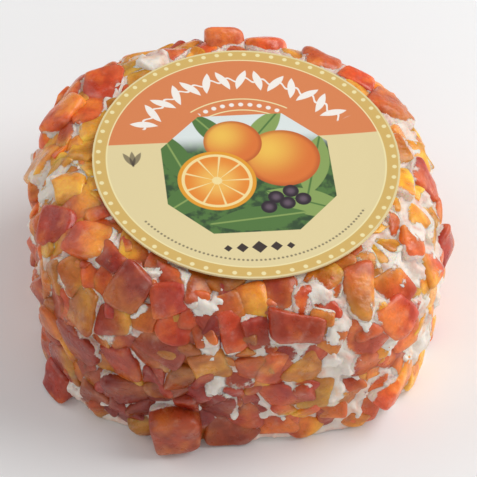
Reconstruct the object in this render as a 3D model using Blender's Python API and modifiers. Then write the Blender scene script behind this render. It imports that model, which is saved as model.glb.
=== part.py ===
"""A small fresh goat cheese rolled in diced candied papaya, with a round paper label on top.

Run it with: blender --background --python part.py, or from Blender's text editor.
Metres, +Z up. The origin is the middle of the flat face that the cheese rests on, and -Y is its front.
"""

import math

import bmesh
import bpy
import numpy as np

MM = 0.001

# Sizes of the whole, measured over the fruit. TOP_FALL is how much the top falls per unit of X and of Y,
# and UNEVEN_WAVES holds each wave's count around the drum, phase and share.
WIDTH = 0.0610
DEPTH = 0.0591
HEIGHT = 0.0298
SQUARENESS = 2.6
SHOULDER_RADIUS = 0.0115
FOOT_RADIUS = 0.0018
FOOT_TAPER = 0.03
TOP_FALL = (0.052, -0.035)
HAND_SHAPED = 0.0004
UNEVEN_WAVES = ((3, 1.1, 0.6), (5, 0.4, 0.4))
PRESSED_AZIMUTH = math.radians(22)
PRESSED_WIDTH = math.radians(28)
PRESSED_IN = 0.0016
NOMINAL_RADIUS = (WIDTH + DEPTH) / 4

# The white cheese, which lies a little inside the fruit's outer faces, and flat on its underside
CHEESE_INSET = 0.0013
CHEESE_INSET_UNDER_LABEL = 0.0006
CURD_LUMPS = 0.00030
LUMPS_AROUND = (9, 4)
LUMPS_PER_METRE = (300, -420)
CHEESE_STEPS = 64
CHEESE_ARC_STEP = 0.0045

# Round paper label, pressed onto the top
LABEL_RADIUS = 0.0220
LABEL_CENTRE = (0.0013, -0.0008)
LABEL_THICKNESS = 0.0003
LABEL_GAP = 0.0003
LABEL_CURL = 0.0006
LABEL_RINGS = 5
LABEL_STEPS = 72

# Diced fruit, placed by a seeded rule
DICE_SEED = 29
FRUIT_OVER_TOP = 0.002
DICE_LENGTHS = (0.0070, 0.0063, 0.0056, 0.0050, 0.0044)
DARTS = (60, 120, 240, 600, 1500)
DICE_NARROWEST = 0.62
DICE_THICKNESS = (0.0030, 0.0042)
DICE_ROOT = 0.0024
DICE_LIFT = (-0.0007, 0.0002)
DICE_LEAN = math.radians(8)
DICE_TAPER = 0.22
DICE_SLOPE = 0.16
DICE_RIM_CUT = 0.34
DICE_FEET = (0.0003, 0.0006)
DICE_UNDER_LABEL = (0.0003, 0.0005)
TUCKED_UNDER_LABEL = 0.0010
CROWDED_AZIMUTH = math.radians(-130)
CROWDED_SPACING = 0.84
OPEN_SPACING = 1.04

# The dice that stand out, placed by hand: azimuth in degrees from +X, distance down the profile from
# the top's middle, length, width and lift over the skin in millimetres, and the turn of the length from
# level in degrees
STANDOUT_DICE = (
    (95, 26.4, 5.0, 5.8, 2.4, 12),
    (81, 25.9, 5.6, 4.6, 1.4, -6),
    (60, 24.8, 5.8, 4.4, 0.4, 8),
    (46, 24.6, 5.4, 4.0, 0.7, 20),
    (31, 26.0, 7.2, 6.0, 0.7, 35),
    (2, 29.0, 6.2, 5.0, 0.4, 80),
    (-12, 36.0, 5.5, 5.0, 1.1, 10),
    (-26, 27.3, 4.8, 4.2, 0.4, 20),
    (-25, 32.4, 5.0, 4.6, 0.5, -20),
    (-52, 26.6, 7.8, 4.6, 0.7, 70),
    (-44, 33.0, 6.4, 6.0, 0.7, 15),
    (-73, 29.8, 7.8, 5.6, 0.8, -8),
    (-43, 49.5, 7.4, 6.4, 0.8, 30),
    (-107, 50.5, 7.0, 7.0, 2.9, 4),
    (-80, 50.5, 6.0, 5.0, -0.6, 10),
    (-145, 53.0, 5.4, 5.4, 1.4, 0),
    (-134, 39.5, 7.0, 6.4, 0.7, 20),
    (-146, 41.4, 5.4, 5.6, 0.7, 0),
    (-111, 26.2, 5.4, 4.6, 0.5, 20),
    (-123, 26.4, 6.8, 5.2, 0.8, 80),
    (-144, 24.2, 6.4, 5.6, 0.7, 30),
    (-158, 27.6, 6.2, 5.2, 0.6, 60),
    (-168, 24.2, 5.4, 5.0, 0.5, 0),
    (158, 26.4, 6.4, 5.6, 1.0, -20),
    (144, 22.6, 6.6, 5.6, 0.7, 25),
)

# Colours, roughness
CHEESE_FINISH = ((0.83, 0.78, 0.71), 0.60)
LABEL_FINISH = ((0.86, 0.74, 0.50), 0.45)


def profile_arcs():
    """Distances from the top's middle to the ends of the flat top, shoulder, wall, foot and underside."""
    lengths = (
        NOMINAL_RADIUS - SHOULDER_RADIUS,
        SHOULDER_RADIUS * math.pi / 2,
        HEIGHT - SHOULDER_RADIUS - FOOT_RADIUS,
        FOOT_RADIUS * math.pi / 2,
        NOMINAL_RADIUS - FOOT_RADIUS,
    )
    return np.cumsum(lengths)


def turned_profile(arc):
    """Radius and height of the nominal round drum at a distance along its profile, and its skin's lean."""
    flat, shoulder, wall, foot, end = profile_arcs()
    over = np.clip((arc - flat) / (shoulder - flat), 0, 1) * math.pi / 2
    down = np.clip(arc, shoulder, wall) - shoulder
    back = np.clip((arc - wall) / (foot - wall), 0, 1) * math.pi / 2
    under = np.clip(arc, foot, end) - foot
    radius = np.minimum(arc, flat) + SHOULDER_RADIUS * np.sin(over)
    radius = radius - FOOT_RADIUS * (1 - np.cos(back)) - under
    height = HEIGHT - SHOULDER_RADIUS * (1 - np.cos(over)) - down - FOOT_RADIUS * np.sin(back)
    return radius, height, over + back


def footprint(angle):
    """Radius of the plan outline: an uneven rounded square, its back right corner pressed in by hand."""
    across = np.abs(np.cos(angle) / (WIDTH / 2)) ** SQUARENESS
    along = np.abs(np.sin(angle) / (DEPTH / 2)) ** SQUARENESS
    uneven = sum(share * np.sin(count * angle + phase) for count, phase, share in UNEVEN_WAVES)
    away = (np.mod(angle - PRESSED_AZIMUTH + math.pi, 2 * math.pi) - math.pi) / PRESSED_WIDTH
    return (across + along) ** (-1 / SQUARENESS) + HAND_SHAPED * uneven - PRESSED_IN * np.exp(-(away ** 2))


def slanted(x, y):
    """The drum's height over a plan point, as a share of the nominal, as its top falls to the front right."""
    return 1 - (TOP_FALL[0] * x + TOP_FALL[1] * y) / HEIGHT


def drum_point(arc, angle):
    """The point of the drum's skin at an arc and an angle.

    The nominal profile is turned, drawn out to the footprint, narrowed to the foot and slanted on top.
    """
    radius, height, _ = turned_profile(arc)
    radius = radius * footprint(angle) / NOMINAL_RADIUS * (1 - FOOT_TAPER * (1 - height / HEIGHT))
    x, y = radius * np.cos(angle), radius * np.sin(angle)
    return np.stack([x, y, height * slanted(x, y)], -1)


def unit(vectors):
    return vectors / np.linalg.norm(vectors, axis=-1, keepdims=True)


def skin_axes(arc, angle):
    """Unit vectors around the drum, up its profile and out of its skin."""
    arc_step, turn = 0.1 * MM, math.radians(0.5)
    around = unit(drum_point(arc, angle + turn) - drum_point(arc, angle - turn))
    upward = unit(drum_point(arc - arc_step, angle) - drum_point(arc + arc_step, angle))
    outward = unit(np.cross(around, upward))
    return around, np.cross(outward, around), outward


def dice_spacing(angle):
    """How far apart dice lie, as a share of their size: crowded at the front left, open at the right."""
    crowded = 0.5 + 0.5 * np.cos(angle - CROWDED_AZIMUTH)
    return OPEN_SPACING + (CROWDED_SPACING - OPEN_SPACING) * crowded


def beyond_label(points):
    """How far outside the label's rim points lie, seen from above."""
    return np.hypot(points[..., 0] - LABEL_CENTRE[0], points[..., 1] - LABEL_CENTRE[1]) - LABEL_RADIUS


def lay_dice():
    """Places every dice on the skin and returns its measures, as a dictionary of arrays.

    The hand-placed ones come first. Then darts are thrown at the skin, evenly by area and the longest
    dice first. A dart counts where it lands clear of the dice before it and of the label's middle.
    """
    rng = np.random.default_rng(DICE_SEED)
    by_hand = np.array(STANDOUT_DICE)
    angle, arc = np.radians(by_hand[:, 0]), by_hand[:, 1] * MM
    length, width = by_hand[:, 2] * MM, by_hand[:, 3] * MM
    lift, spin = by_hand[:, 4] * MM, np.radians(by_hand[:, 5])
    placed = drum_point(arc, angle)
    reach = (length + width) / 4
    first_arc, last_arc = profile_arcs()[0] - FRUIT_OVER_TOP, profile_arcs()[2]
    for longest, darts in zip(DICE_LENGTHS, DARTS):
        arcs = rng.uniform(first_arc, last_arc, darts)
        angles = rng.uniform(-math.pi, math.pi, darts)
        by_area = rng.uniform(0, NOMINAL_RADIUS, darts) < turned_profile(arcs)[0]
        widths = longest * rng.uniform(DICE_NARROWEST, 1, darts)
        lifts = rng.uniform(*DICE_LIFT, darts)
        spins = rng.uniform(-math.pi / 2, math.pi / 2, darts)
        points = drum_point(arcs, angles)
        reaches = (longest + widths) / 4
        counts = by_area & (beyond_label(points) > -TUCKED_UNDER_LABEL)
        for n in np.flatnonzero(counts):
            apart = np.linalg.norm(placed - points[n], axis=1)
            if (apart < (reach + reaches[n]) * dice_spacing(angles[n])).any():
                continue
            placed = np.vstack([placed, points[n]])
            reach = np.append(reach, reaches[n])
            arc, angle = np.append(arc, arcs[n]), np.append(angle, angles[n])
            length, width = np.append(length, longest), np.append(width, widths[n])
            lift, spin = np.append(lift, lifts[n]), np.append(spin, spins[n])
    count = len(arc)
    thickness = np.maximum(rng.uniform(*DICE_THICKNESS, count), lift + DICE_ROOT)
    lean = rng.uniform(-DICE_LEAN, DICE_LEAN, (count, 2))
    taper = rng.uniform(-DICE_TAPER, DICE_TAPER, (count, 2))
    slope = rng.uniform(-DICE_SLOPE, DICE_SLOPE, (count, 2))
    foot = rng.uniform(*DICE_FEET, count)
    head = rng.uniform(*DICE_UNDER_LABEL, count)
    return {
        "arc": arc, "angle": angle, "length": length, "width": width, "thickness": thickness,
        "lift": lift, "spin": spin, "lean": lean, "taper": taper, "slope": slope, "foot": foot, "head": head,
    }


def shape_dice(cube_points, dice, n):
    """Turns points of a cube from -1 to 1 into dice n: tapered, sloped on its outer face, turned and placed.

    It stays over the foot's level, and under the label where it would reach it.
    """
    x, y, z = cube_points.T
    half = np.array([dice["length"][n], dice["width"][n], dice["thickness"][n]]) / 2
    taper, slope, lean = dice["taper"][n], dice["slope"][n], dice["lean"][n]
    local = np.stack([x * (1 + taper[0] * y), y * (1 + taper[1] * x), z], -1) * half
    local[:, 2] += (slope[0] * local[:, 0] + slope[1] * local[:, 1]) * (1 + z) / 2
    around, upward, outward = skin_axes(dice["arc"][n], dice["angle"][n])
    outward = unit(outward + lean[0] * around + lean[1] * upward)
    along = unit(math.cos(dice["spin"][n]) * around + math.sin(dice["spin"][n]) * upward)
    across = unit(np.cross(outward, along))
    along = np.cross(across, outward)
    centre = drum_point(dice["arc"][n], dice["angle"][n]) + outward * (dice["lift"][n] - half[2])
    points = centre + local[:, :1] * along + local[:, 1:2] * across + local[:, 2:] * outward
    points[:, 2] = np.maximum(points[:, 2], dice["foot"][n])
    if beyond_label(points).min() < LABEL_GAP:
        points[:, 2] = np.minimum(points[:, 2], label_underside(points) - dice["head"][n])
    return points


def label_underside(points):
    """Height of the label's underside over a plan point: the slanted top plane."""
    return HEIGHT * slanted(points[..., 0], points[..., 1])


def label_curl(points):
    """How far the label's right-hand edge curls up: rising with the cube of the distance to that side."""
    towards_right = (points[..., 0] - LABEL_CENTRE[0]) / LABEL_RADIUS
    return LABEL_CURL * np.clip(towards_right, 0, 1) ** 3


def vertex_array(mesh):
    flat = np.empty(len(mesh.vertices) * 3)
    mesh.vertices.foreach_get("co", flat)
    return flat.reshape(-1, 3)


def move_vertices(mesh, points):
    mesh.vertices.foreach_set("co", np.ascontiguousarray(points, np.float32).ravel())
    mesh.update()


def applied(obj):
    """Replaces the object's mesh by its evaluated one, so that its modifiers are part of the mesh."""
    graph = bpy.context.evaluated_depsgraph_get()
    mesh = bpy.data.meshes.new_from_object(obj.evaluated_get(graph))
    obj.modifiers.clear()
    obj.data = mesh
    return obj


def turned(name, radii, heights, steps, collection):
    """A profile in the XZ plane turned about Z with a Screw modifier."""
    mesh = bpy.data.meshes.new(name)
    points = [(r, 0, z) for r, z in zip(radii, heights)]
    mesh.from_pydata(points, [(i, i + 1) for i in range(len(points) - 1)], [])
    obj = bpy.data.objects.new(name, mesh)
    collection.objects.link(obj)
    screw = obj.modifiers.new("turn", "SCREW")
    screw.steps = screw.render_steps = steps
    screw.use_merge_vertices = True
    screw.merge_threshold = 0.00001
    return obj


def cheese_inset(arc):
    """The cheese lies deeper between the fruit than under the label, with a smooth step at the shoulder."""
    flat, shoulder = profile_arcs()[:2]
    share = np.clip((arc - 0.8 * flat) / (shoulder - flat), 0, 1)
    smooth = share * share * (3 - 2 * share)
    return CHEESE_INSET_UNDER_LABEL + (CHEESE_INSET - CHEESE_INSET_UNDER_LABEL) * smooth


def make_cheese(collection):
    """The white drum: a turned profile whose rings are then moved out to the uneven footprint."""
    flat, shoulder, wall, foot, end = profile_arcs()
    ends = [0, 0.55 * flat, flat, shoulder, wall, foot]
    arcs = np.concatenate([
        np.linspace(a, b, max(2, round((b - a) / CHEESE_ARC_STEP)), endpoint=False) if a else [a]
        for a, b in zip(ends, ends[1:])
    ] + [[foot, end]])
    inset = cheese_inset(arcs)
    radius, height, lean = turned_profile(arcs)
    radius = np.maximum(radius - inset * np.sin(lean), 0)
    height = height - inset * np.maximum(np.cos(lean), 0)
    cheese = turned("cheese", radius, height, CHEESE_STEPS, collection)
    applied(cheese)
    points = vertex_array(cheese.data)
    angle = np.arctan2(points[:, 1], points[:, 0])
    drawn = footprint(angle) / NOMINAL_RADIUS * (1 - FOOT_TAPER * (1 - points[:, 2] / HEIGHT))
    waves = [around * angle + up * points[:, 2] for around, up in zip(LUMPS_AROUND, LUMPS_PER_METRE)]
    lumps = np.sin(waves[0]) * np.cos(waves[1])
    drawn = drawn + CURD_LUMPS / NOMINAL_RADIUS * lumps * np.clip(points[:, 2] / FOOT_RADIUS, 0, 1)
    x, y = points[:, 0] * drawn, points[:, 1] * drawn
    move_vertices(cheese.data, np.stack([x, y, points[:, 2] * slanted(x, y)], -1))
    return cheese


def dice_template():
    """A cube from -1 to 1 whose outer face has its rim cut back, as an array and the mesh's faces."""
    cube = bmesh.new()
    bmesh.ops.create_cube(cube, size=2)
    rim = [e for e in cube.edges if all(v.co.z > 0 for v in e.verts)]
    bmesh.ops.bevel(cube, geom=rim, offset=DICE_RIM_CUT, segments=1, affect="EDGES")
    bmesh.ops.triangulate(cube, faces=cube.faces[:])
    points = np.array([v.co[:] for v in cube.verts])
    cube.verts.index_update()
    faces = [[v.index for v in f.verts] for f in cube.faces]
    cube.free()
    return points, faces


def make_dice(collection):
    """One closed object for each dice."""
    points, faces = dice_template()
    dice = lay_dice()
    for n in range(len(dice["arc"])):
        mesh = bpy.data.meshes.new(f"dice_{n}")
        mesh.from_pydata(shape_dice(points, dice, n).tolist(), [], faces)
        collection.objects.link(bpy.data.objects.new(f"dice_{n}", mesh))


def drop_loose_parts(mesh):
    """Keeps the part with the most vertices, so that sealed hollows and scraps are gone."""
    edited = bmesh.new()
    edited.from_mesh(mesh)
    unseen, parts = set(edited.verts), []
    while unseen:
        part, edge = set(), [next(iter(unseen))]
        while edge:
            vert = edge.pop()
            if vert in part:
                continue
            part.add(vert)
            edge.extend(e.other_vert(vert) for e in vert.link_edges)
        unseen -= part
        parts.append(part)
    largest = max(parts, key=len)
    loose = [v for part in parts if part is not largest for v in part]
    bmesh.ops.delete(edited, geom=loose, context="VERTS")
    edited.to_mesh(mesh)
    edited.free()


def fuse(cheese, dice_collection):
    """Joins the dice to the cheese, and removes their own objects."""
    union = cheese.modifiers.new("fruit", "BOOLEAN")
    union.operation = "UNION"
    union.operand_type = "COLLECTION"
    union.collection = dice_collection
    union.solver = "MANIFOLD"
    applied(cheese)
    for obj in list(dice_collection.objects):
        bpy.data.objects.remove(obj)
    bpy.data.collections.remove(dice_collection)
    drop_loose_parts(cheese.data)


def make_label(collection):
    """The label: a disc of thin card that follows the slanted top, its right-hand edge curled up a little."""
    radii = np.linspace(0, LABEL_RADIUS, LABEL_RINGS + 1)
    label = turned("label", radii, np.zeros(len(radii)), LABEL_STEPS, collection)
    applied(label)
    points = vertex_array(label.data)
    points[:, :2] += LABEL_CENTRE
    points[:, 2] = label_underside(points) + label_curl(points)
    move_vertices(label.data, points)
    edited = bmesh.new()
    edited.from_mesh(label.data)
    bmesh.ops.recalc_face_normals(edited, faces=edited.faces)
    if sum(f.normal.z for f in edited.faces) < 0:
        bmesh.ops.reverse_faces(edited, faces=edited.faces)
    edited.to_mesh(label.data)
    edited.free()
    card = label.modifiers.new("card", "SOLIDIFY")
    card.thickness = LABEL_THICKNESS
    card.offset = 1
    return label


def finish(obj, colour, roughness):
    material = bpy.data.materials.new(obj.name)
    material.use_nodes = True
    shader = material.node_tree.nodes["Principled BSDF"]
    shader.inputs["Base Color"].default_value = (*colour, 1)
    shader.inputs["Roughness"].default_value = roughness
    obj.data.materials.clear()
    obj.data.materials.append(material)


def main():
    for obj in list(bpy.data.objects):
        bpy.data.objects.remove(obj)
    whole = bpy.data.collections.new("papaya_goat_cheese")
    bpy.context.scene.collection.children.link(whole)
    loose = bpy.data.collections.new("loose_dice")
    bpy.context.scene.collection.children.link(loose)
    cheese = make_cheese(whole)
    make_dice(loose)
    fuse(cheese, loose)
    finish(cheese, *CHEESE_FINISH)
    finish(make_label(whole), *LABEL_FINISH)


main()
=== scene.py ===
"""The looks of a small fresh goat cheese rolled in diced candied papaya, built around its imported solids.

The file is laid out as a Blender add-on and is run as a script. Metres, +Z up, the frame of the solids.
"""

import itertools
import math

import bpy
import numpy as np
from bpy.props import FloatProperty, FloatVectorProperty, IntProperty, PointerProperty
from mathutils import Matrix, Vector


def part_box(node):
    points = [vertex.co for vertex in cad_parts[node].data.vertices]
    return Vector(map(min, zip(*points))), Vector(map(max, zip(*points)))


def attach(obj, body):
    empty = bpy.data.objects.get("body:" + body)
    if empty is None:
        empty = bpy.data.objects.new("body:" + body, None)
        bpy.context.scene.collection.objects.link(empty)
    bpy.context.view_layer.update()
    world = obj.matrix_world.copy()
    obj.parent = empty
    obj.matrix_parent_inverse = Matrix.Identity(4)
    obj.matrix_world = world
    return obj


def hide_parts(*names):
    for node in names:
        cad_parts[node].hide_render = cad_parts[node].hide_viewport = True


bl_info = {
    "name": "Papaya goat cheese",
    "version": (1, 0, 0),
    "blender": (4, 5, 0),
    "location": "View3D > Sidebar > Papaya cheese",
    "description": "Builds a fresh goat cheese rolled in diced candied papaya, with its paper label",
    "category": "Object",
}

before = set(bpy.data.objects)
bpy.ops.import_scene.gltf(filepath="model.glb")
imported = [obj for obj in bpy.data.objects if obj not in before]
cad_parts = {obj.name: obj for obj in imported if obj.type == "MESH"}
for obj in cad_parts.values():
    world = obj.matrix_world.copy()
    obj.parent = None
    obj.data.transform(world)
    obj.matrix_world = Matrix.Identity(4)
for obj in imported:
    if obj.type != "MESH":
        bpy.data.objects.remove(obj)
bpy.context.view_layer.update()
LABEL_LOW, LABEL_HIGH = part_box("label")

MM = 0.001
COLOUR_MAX = 255

# Sizes of the drum, as in the part's source
WIDTH = 0.0610
DEPTH = 0.0591
HEIGHT = 0.0298
SQUARENESS = 2.6
SHOULDER_RADIUS = 0.0115
FOOT_RADIUS = 0.0018
FOOT_TAPER = 0.03
TOP_FALL = (0.052, -0.035)
HAND_SHAPED = 0.0004
UNEVEN_WAVES = ((3, 1.1, 0.6), (5, 0.4, 0.4))
PRESSED_AZIMUTH = math.radians(22)
PRESSED_WIDTH = math.radians(28)
PRESSED_IN = 0.0016
NOMINAL_RADIUS = (WIDTH + DEPTH) / 4
HALFWAY_UP = HEIGHT / 2

# Distances down the profile, from the top's middle to the ends of the flat top, the shoulder, the wall,
# the foot and the underside
TOP_END = NOMINAL_RADIUS - SHOULDER_RADIUS
SHOULDER_END = TOP_END + SHOULDER_RADIUS * math.pi / 2
WALL_END = SHOULDER_END + (HEIGHT - SHOULDER_RADIUS - FOOT_RADIUS)
FOOT_END = WALL_END + FOOT_RADIUS * math.pi / 2
UNDERSIDE_END = FOOT_END + (NOMINAL_RADIUS - FOOT_RADIUS)

# The label's place, from its solid
LABEL_CENTRE = ((LABEL_LOW[0] + LABEL_HIGH[0]) / 2, (LABEL_LOW[1] + LABEL_HIGH[1]) / 2)
LABEL_RADIUS = (LABEL_HIGH[1] - LABEL_LOW[1]) / 2

# Diced fruit, placed by the same seeded rule as in the part's source
DICE_SEED = 29
FRUIT_OUTSIDE = (TOP_END - 0.002, WALL_END)
DICE_LENGTHS = (0.0070, 0.0063, 0.0056, 0.0050, 0.0044)
DARTS = (60, 120, 240, 600, 1500)
DICE_NARROWEST = 0.62
DICE_THICKNESS = (0.0030, 0.0042)
DICE_ROOT = 0.0024
DICE_LIFT = (-0.0007, 0.0002)
DICE_LEAN = math.radians(8)
DICE_TAPER = 0.22
DICE_SLOPE = 0.16
DICE_FEET = (0.0003, 0.0006)
DICE_UNDER_LABEL = (0.0003, 0.0005)
LABEL_GAP = 0.0003
TUCKED_UNDER_LABEL = 0.0010
CROWDED_AZIMUTH = math.radians(-130)
OPEN_AZIMUTH = math.radians(-20)
CROWDED_SPACING = 0.84
OPEN_SPACING = 1.04

# The dice that stand out, listed one by one: azimuth in degrees from +X, distance down the profile from
# the top's middle, length, width and lift over the skin in millimetres, the turn of the length from
# level in degrees, and the tone, from deep red at 0 through orange to amber at 1
STANDOUT_DICE = (
    (95, 26.4, 5.0, 5.8, 2.4, 12, 0.35),
    (81, 25.9, 5.6, 4.6, 1.4, -6, 0.45),
    (60, 24.8, 5.8, 4.4, 0.4, 8, 0.50),
    (46, 24.6, 5.4, 4.0, 0.7, 20, 0.25),
    (31, 26.0, 7.2, 6.0, 0.7, 35, 0.55),
    (2, 29.0, 6.2, 5.0, 0.4, 80, 0.12),
    (-12, 36.0, 5.5, 5.0, 1.1, 10, 0.10),
    (-26, 27.3, 4.8, 4.2, 0.4, 20, 0.60),
    (-25, 32.4, 5.0, 4.6, 0.5, -20, 0.45),
    (-52, 26.6, 7.8, 4.6, 0.7, 70, 0.70),
    (-44, 33.0, 6.4, 6.0, 0.7, 15, 0.20),
    (-73, 29.8, 7.8, 5.6, 0.8, -8, 0.20),
    (-43, 49.5, 7.4, 6.4, 0.8, 30, 0.50),
    (-107, 50.5, 7.0, 7.0, 2.9, 4, 0.30),
    (-80, 50.5, 6.0, 5.0, -0.6, 10, 0.40),
    (-145, 53.0, 5.4, 5.4, 1.4, 0, 0.02),
    (-134, 39.5, 7.0, 6.4, 0.7, 20, 0.12),
    (-146, 41.4, 5.4, 5.6, 0.7, 0, 0.62),
    (-111, 26.2, 5.4, 4.6, 0.5, 20, 0.12),
    (-123, 26.4, 6.8, 5.2, 0.8, 80, 0.22),
    (-144, 24.2, 6.4, 5.6, 0.7, 30, 0.42),
    (-158, 27.6, 6.2, 5.2, 0.6, 60, 0.05),
    (-168, 24.2, 5.4, 5.0, 0.5, 0, 0.90),
    (158, 26.4, 6.4, 5.6, 1.0, -20, 0.50),
    (144, 22.6, 6.6, 5.6, 0.7, 25, 0.22),
)

# In the looks those dice lean more, which their solids only hint at
LEAN_MORE = 1.6

# Dice that fill the gaps between those, then small ones, then the ones pressed into the underside. Their
# spacing is a share of that of the solids' dice, and where the fruit is crowded they lie closer still.
FILL_SEED = 71
FILL_LENGTHS = (0.0062, 0.0056, 0.0050, 0.0044)
FILL_DARTS = 900
FILL_SPACING = 0.72
FILL_LIFT = (-0.0007, 0.0001)
FILL_LEAN = math.radians(21)
FILL_THICKNESS = (0.6, 0.9)
CROWDED_MORE = 0.10
SMALL_SEED = 72
SMALL_LENGTHS = (0.0036, 0.0030, 0.0025)
SMALL_DARTS = 2200
SMALL_SPACING = 0.84
SMALL_LIFT = (-0.0007, -0.0002)
UNDER_SEED = 73
UNDER_LENGTHS = (0.0066, 0.0056, 0.0046)
UNDER_DARTS = 260
UNDER_SPACING = 0.86
UNDER_LIFT = (-0.0003, -0.00005)
UNDER_FEET = (0.00004, 0.0001)

# Patches where the curd stands higher and covers the fruit: azimuth in degrees, distance down the profile
# and half width in millimetres. More of them are drawn at random round the back.
CURD_PATCHES = (
    (-39, 27.2, 3.3),
    (-64, 25.0, 2.5),
    (-100, 26.4, 2.7),
    (-46, 37.4, 2.2),
    (-63, 44.8, 1.8),
    (13, 26.9, 1.8),
    (-54, 31.2, 1.7),
    (-39, 45.0, 1.4),
    (124, 21.7, 2.6),
    (-62, 30.8, 1.7),
    (-98, 33.2, 2.8),
    (-64, 36.2, 1.8),
    (-93, 40.5, 2.6),
    (-7, 29.0, 1.7),
    (-22, 26.8, 2.2),
    (-24, 33.3, 2.3),
    (-34, 35.6, 2.2),
    (-137, 51.5, 2.2),
    (-37, 23.6, 1.4),
    (-118, 22.5, 1.3),
    (-60, 39.3, 1.4),
    (-55, 49.5, 1.4),
    (-76, 49.7, 1.4),
    (161, 29.1, 3.0),
    (-32, 31.6, 1.3),
    (-46, 46.9, 1.3),
    (-90, 47.5, 1.3),
    (-127, 50.7, 1.4),
    (176, 31.7, 2.8),
    (-118, 28.3, 1.1),
    (-173, 27.5, 2.7),
    (-170, 36.5, 2.2),
    (-20, 42.0, 2.5),
    (-30, 47.0, 2.3),
)
PATCH_SEED = 17
BACK_PATCHES = 18
BACK_BETWEEN = (math.radians(18), math.radians(190))
BACK_PATCH_WIDTH = (0.0012, 0.0022)

# Tones run from red at 0 through orange to amber at 1. They are drawn from a beta distribution.
TONE_BETA = (1.1, 1.5)
RED_ENDS = 0.33
AMBER_BEGINS = 0.68

# How much nearer to amber the tone is high up, at the sides and where the fruit is open, from its start
TONE_START = -0.22
TONE_HIGH = 0.30
TONE_SIDES = 0.28
TONE_OPEN = 0.28

# Painted light and shade: how much lighter or darker the dice's colour is made by their place, from its
# start
PAINTED_LIGHT_START = 1.04
PAINTED_LIGHT_HIGH_AND_SIDES = 0.08
PAINTED_LIGHT_BACK = 0.10
PAINTED_LIGHT_OPEN = 0.40
PAINTED_SHADE_LOW_FRONT = 0.54
PAINTED_SHADE_HIGH_FRONT = 0.24
PAINTED_SHADE_KEPT_FROM_OPEN = 0.7

# The dice's brightness is drawn between these factors, and this is the most that a milky film dulls one
BRIGHTNESS_DRAWN = (0.74, 1.24)
MOST_DULLED = 0.4

# A dice is left out where less than this share of its outer face is bare of curd, and low down the film of
# curd on the dice ends between these heights
LEAST_BARE = 0.16
FILM_ENDS = (5.0 * MM, 1.5 * MM)

# The curd that covers a dice is stained only within about this distance of its edges
STAIN_UNDER = 0.0004

# The curd's grid: points round the drum, and rows under the label, on the outside and on the underside. It
# starts and ends a little away from the axis, and a pole closes it.
CURD_AROUND = 620
CURD_ROWS_UNDER_LABEL = 10
CURD_ROWS_OUTSIDE = 126
CURD_ROWS_UNDERNEATH = 20
POLE_GAP = 0.4 * MM

# How far the curd sinks under the label, how far under its plane and beyond its rim it keeps clear of it,
# and how far over the floor its underside stands
CURD_UNDER_LABEL = 0.6 * MM
CURD_LABEL_GAP = 0.25 * MM
CURD_LABEL_CLEARANCE = 0.6 * MM
CURD_OVER_FLOOR = 0.12 * MM

# The steps of the grids on a cube's sides, from -1 to 1
DICE_STEPS = (-1, -0.62, 0, 0.62, 1)
CRUMB_STEPS = (-1, 0, 1)

# The sockets of a Mix node that are colours
MIX_BELOW, MIX_ABOVE, MIX_RESULT = 6, 7, 2

# The lights' places and the width of each
LIGHTS = {
    "key": ((0.38, 0.08, 0.36), 0.45),
    "left": ((-0.36, 0.14, 0.36), 0.45),
    "fill": ((-0.10, -0.40, 0.30), 0.40),
}
FLOOR_HALF_WIDTH = 4.0


def srgb(red, green, blue):
    """A colour given from 0 to 255, as Blender's linear values: ((c + 0.055) / 1.055) to the power 2.4."""
    scaled = np.array([red, green, blue]) / COLOUR_MAX
    linear = np.where(scaled <= 0.04045, scaled / 12.92, ((scaled + 0.055) / 1.055) ** 2.4)
    return tuple(float(c) for c in linear)


def colour_setting(name, description, default):
    """A setting that holds a colour."""
    return FloatVectorProperty(
        name=name, description=description, default=default, size=3, min=0, max=1, subtype="COLOR")


def length_setting(name, description, default, least, most):
    """A setting that holds a small length in metres."""
    return FloatProperty(
        name=name, description=description, default=default, min=least, max=most, precision=5,
        unit="LENGTH")


def share_setting(name, description, default, most):
    """A setting that holds a share, from 0 up."""
    return FloatProperty(
        name=name, description=description, default=default, min=0, max=most, subtype="FACTOR")


class CurdLook(bpy.types.PropertyGroup):
    """The white cheese."""

    level: length_setting(
        "Level", "Level of the curd where no fruit is near, over the drum's skin",
        -0.00095, -0.003, 0.001)
    drop: length_setting(
        "Drop", "How far the curd lies under the faces of the fruit beside it",
        0.00038, -0.001, 0.002)
    open_level: length_setting(
        "Level at the right", "How much higher the curd stands where the fruit is open",
        0.00029, 0.0, 0.002)
    steepness: FloatProperty(
        name="Steepness", description="How fast the curd dives under a dice, per distance in from its edge",
        default=0.55, min=0, max=5)
    patch_cover: length_setting(
        "Patch cover", "How thickly the curd covers the fruit's faces in its patches",
        0.00016, 0.0, 0.003)
    lump_height: length_setting(
        "Lump height", "Height of the largest lumps in the curd",
        0.00028, 0.0, 0.002)
    lump_size: length_setting(
        "Lump size", "Distance between the largest lumps",
        0.0042, 0.001, 0.02)
    colour: colour_setting("Curd", "Colour of the clean curd", srgb(247, 237, 225))
    stain: share_setting(
        "Stain", "How strongly the fruit colours the curd beside it",
        0.54, 1)
    crumbs: IntProperty(
        name="Crumbs", description="Number of small crumbs of curd on the fruit",
        default=120, min=0, max=3000)


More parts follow.
